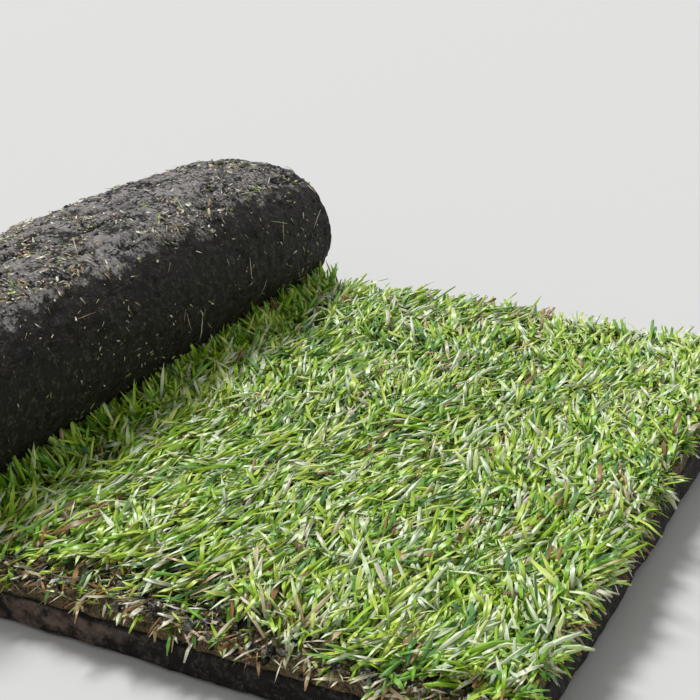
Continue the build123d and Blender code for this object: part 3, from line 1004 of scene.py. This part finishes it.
def lie_on_roll(name, tries, chance, lengths, widths, fresh, lift, wander):
    """Ribbons that lie every way on the outside of the roll, a share of them fresh and the rest bleached."""
    s, y, spots, along, out = on_roll(tries, chance)
    count = len(s)
    room = np.minimum(4 * MM + 0.8 * (HALF_WIDTH - np.abs(y)), 0.9 * spots[:, 2])
    length = np.minimum(skewed(*lengths, count, 1.6) * MM, room)
    lay_ribbons(
        name,
        spots + out * lift,
        turned_by(along, out, rng.uniform(-np.pi, np.pi, count)),
        out,
        length,
        rng.uniform(*widths, count) * MM,
        rng.uniform(-0.12, 0.3, count),
        rng.normal(-0.15, wander, count),
        rng.normal(0, 0.5, count),
        np.where(rng.random(count) < fresh, rng.uniform(0.2, 0.45, count), rng.uniform(0.75, 0.92, count)),
        rng.uniform(0.2, 0.8, count),
    )


def on_the_crumbs(s, y):
    """The chance that a bit lies there: best where the top has broken up."""
    return 0.8 * heaped(s, y) * weathered_and_lit(s, y)


def in_the_damp(s, y):
    """The chance that a bit is trodden into the damp side."""
    return 0.7 * (1 - weathered_and_lit(s, y)) * smooth(rough(s, y, 26 * MM, 93), -0.7, 0.6)


def down_the_sides(s, y):
    """The chance that a root shows there: better towards the far end."""
    return 0.25 + 0.35 * smooth(y, 0, HALF_WIDTH)


lie_on_roll("bits_on_the_roll", 12500, on_the_crumbs, (1.2, 6.0), (0.6, 1.4), 0.05, 0.5 * MM, 0.25)
lie_on_roll("specks_in_the_damp", 2600, in_the_damp, (0.8, 4.5), (0.4, 0.9), 0.05, 0.2 * MM, 0.2)
lie_on_roll("clippings_on_the_roll", 1100, on_the_crumbs, (4, 12), (0.7, 1.7), 0.2, 0.8 * MM, 0.3)
lie_on_roll("roots_on_the_roll", 460, down_the_sides, (8, 26), (0.3, 0.6), 0.05, 0.5 * MM, 0.25)


# The ends of the turns: the crushed sward frays out of the slits between them, short blades that are part
# green and part dead, still rooted and pressed flat by the winding.
def fray(count):
    """Short blades out of the ends of the turns, crushed flat between them."""
    s = rng.uniform(UNDER_ROLL - 8 * MM, STRIP_LENGTH - 4 * MM, count)
    side = np.where(rng.random(count) < 0.5, -1.0, 1.0)
    y = side * (HALF_WIDTH - rng.uniform(1.5, 6, count) * MM)
    sward = winding(y)[0]
    foot, along, up = strip(s, y, SWARD_FOOT + sward * rng.uniform(0.15, 0.85, count))
    heading = turned_by(side[:, None] * ACROSS, up, rng.normal(0, 0.6, count))
    length = held_in(foot, heading, rng.uniform(4, 13, count) * MM)
    dead = rng.random(count) < 0.3
    shade = np.where(dead, rng.uniform(0.76, 1.0, count), np.clip(rng.normal(0.4, 0.16, count), 0.02, 0.74))
    rise = rng.normal(0, 0.25, count)
    lay_ribbons(
        "frayed_blades", foot, heading, up, length, rng.uniform(1.1, 2.0, count) * MM, rise,
        rng.normal(0, 0.35, count), rng.normal(0, 0.5, count), shade, rng.uniform(0.1, 0.7, count),
    )


fray(3200)


# The cut edges of the sward: dead blades and crumbs of soil and felt lie loose where the knife has bared
# them, and tufts of rooted blades droop over them.
def litter(count):
    """Dead blades on the bare felt by the cut edges, lying every way."""
    s, y = scatter(count, 2 * MM)
    x = x_at(s, y)
    kept = rng.random(count) < 0.9 * bare_share(x, y) + 0.16 * shoulder(x, y) + 0.3 * (s < 9 * MM)
    s, y, x = s[kept], y[kept], x[kept]
    count = len(s)
    height = THATCH_DEPTH * (1 - 0.25 * shoulder(x, y)) + rng.uniform(-0.5, 2.5, count) * MM
    foot, along, up = strip(s, y, SOIL_DEPTH + height)
    heading = turned_by(along, up, rng.uniform(-np.pi, np.pi, count))
    length = held_in(foot, heading, rng.uniform(4, 15, count) * MM)
    shade = np.where(rng.random(count) < 0.25, rng.uniform(0.2, 0.7, count), rng.uniform(0.74, 1.0, count))
    lay_ribbons(
        "litter_at_the_edges", foot, heading, up, length, rng.uniform(0.7, 1.7, count) * MM,
        rng.uniform(-0.25, 0.2, count), rng.normal(-0.1, 0.25, count), rng.normal(0, 0.5, count), shade,
        rng.uniform(0.1, 0.7, count),
    )


litter(26000)


def overhang(count):
    """Blades out of the cut edges of the sward that droop over them, in tufts."""
    at_end = rng.random(count) < 0.34
    s, y = scatter(count, 3 * MM, UNDER_ROLL - 22 * MM)
    s = np.where(at_end, rng.uniform(2, 5, count) * MM, s)
    side = np.where(rng.random(count) < 0.62, -1.0, 1.0)
    y = np.where(at_end, y, side * (HALF_WIDTH - rng.uniform(2, 5, count) * MM))
    x = x_at(s, y)
    kept = rng.random(count) < smooth(noise(s + y, y, 11 * MM, 96), -0.4, 0.4) * (1 - 0.8 * bare_share(x, y))
    s, y, side, at_end = s[kept], y[kept], side[kept], at_end[kept]
    count = len(s)
    foot, along, up = strip(s, y, SOIL_DEPTH + rng.uniform(4, 15, count) * MM)
    outward = np.where(at_end[:, None], -along, side[:, None] * ACROSS)
    heading = turned_by(outward, up, rng.normal(0, 0.7, count))
    length = held_in(foot, heading, rng.uniform(4, 14, count) * MM)
    shade = np.clip(rng.normal(0.38, 0.17, count), 0.02, 0.74)
    shade = np.where(rng.random(count) < 0.45, 0.74 + 0.26 * rng.random(count) ** 1.5, shade)
    lay_ribbons(
        "overhanging_blades", foot, heading, up, length, rng.uniform(0.9, 2.3, count) * MM,
        rng.uniform(-0.4, 0.4, count), rng.uniform(-1.5, -0.3, count), rng.normal(0, 0.5, count), shade,
        rng.uniform(0.1, 0.8, count),
    )


overhang(2300)


def crumbs_at_the_edges(name, tries, sizes, finish):
    """Crumbs on the felt where it is bare, and along its cut edges."""
    s, y = scatter(tries, 2 * MM)
    x = x_at(s, y)
    at_the_cut = (HALF_WIDTH - np.abs(y) < CUT_BAND) | (s < 5 * MM)
    kept = rng.random(tries) < 0.8 * bare_share(x, y) + 0.3 * at_the_cut
    s, y = s[kept], y[kept]
    on_top = THATCH_DEPTH + 0.5 * MM
    height = np.where(rng.random(len(s)) < 0.5, on_top, rng.uniform(1, 10, len(s)) * MM)
    height = np.where(HALF_WIDTH - np.abs(y) < CUT_BAND, height, on_top)
    spots = strip(s, y, SOIL_DEPTH + height)[0]
    form = icosahedron()
    crumbs = crumble(name, form, spots, skewed(*sizes, len(s), 2) * MM, 0.3)
    carry(crumbs, "dry", np.repeat(rng.uniform(0.0, 1.0, len(s)), len(form[0])))
    dress(crumbs, finish)


crumbs_at_the_edges("soil_crumbs_at_the_edges", 14000, (1.5, 5.5), soil_finish)
crumbs_at_the_edges("thatch_crumbs_at_the_edges", 15000, (1.2, 4.6), felt_finish)


# The studio: a pale floor that runs on behind the strip, one broad lamp behind it on the left, and an even
# sky, which is seen as bright as the floor looks.
FLOOR_HALF = 6.0
floor_mesh = bpy.data.meshes.new("floor")
corners = [(-FLOOR_HALF, -FLOOR_HALF, 0), (FLOOR_HALF, -FLOOR_HALF, 0), (FLOOR_HALF, FLOOR_HALF, 0)]
floor_mesh.from_pydata(corners + [(-FLOOR_HALF, FLOOR_HALF, 0)], [], [(0, 1, 2, 3)])
floor = bpy.data.objects.new("floor", floor_mesh)
scene.collection.objects.link(floor)
floor_finish = Finish("pale_floor")
floor_finish.set(Base_Color=(0.72, 0.72, 0.71), Roughness=0.9)
floor_mesh.materials.append(floor_finish.material)

lamp = bpy.data.objects.new("key_lamp", bpy.data.lights.new("key_lamp", "SUN"))
lamp.data.angle = np.radians(16)
lamp.data.energy = 2.5
lamp.location = (-0.75, 0.45, 1.25)
lamp.rotation_euler = (-lamp.location).to_track_quat("-Z", "Y").to_euler()
scene.collection.objects.link(lamp)

SKY_LIGHT = 0.36
SKY_SEEN = 0.76

world = bpy.data.worlds.new("sky")
world.use_nodes = True
scene.world = world
sky = Nodes(world.node_tree)
by_camera = sky.node("ShaderNodeLightPath", {}, output="Is Camera Ray")
seen = by_camera.math("MAXIMUM", by_camera, by_camera.also("Is Glossy Ray"))
seen = seen.math("MAXIMUM", seen, by_camera.also("Is Transmission Ray"))
background = world.node_tree.nodes["Background"]
sky.feed(background.inputs["Color"], (1, 1, 1))
sky.feed(background.inputs["Strength"], seen * (SKY_SEEN - SKY_LIGHT) + SKY_LIGHT)
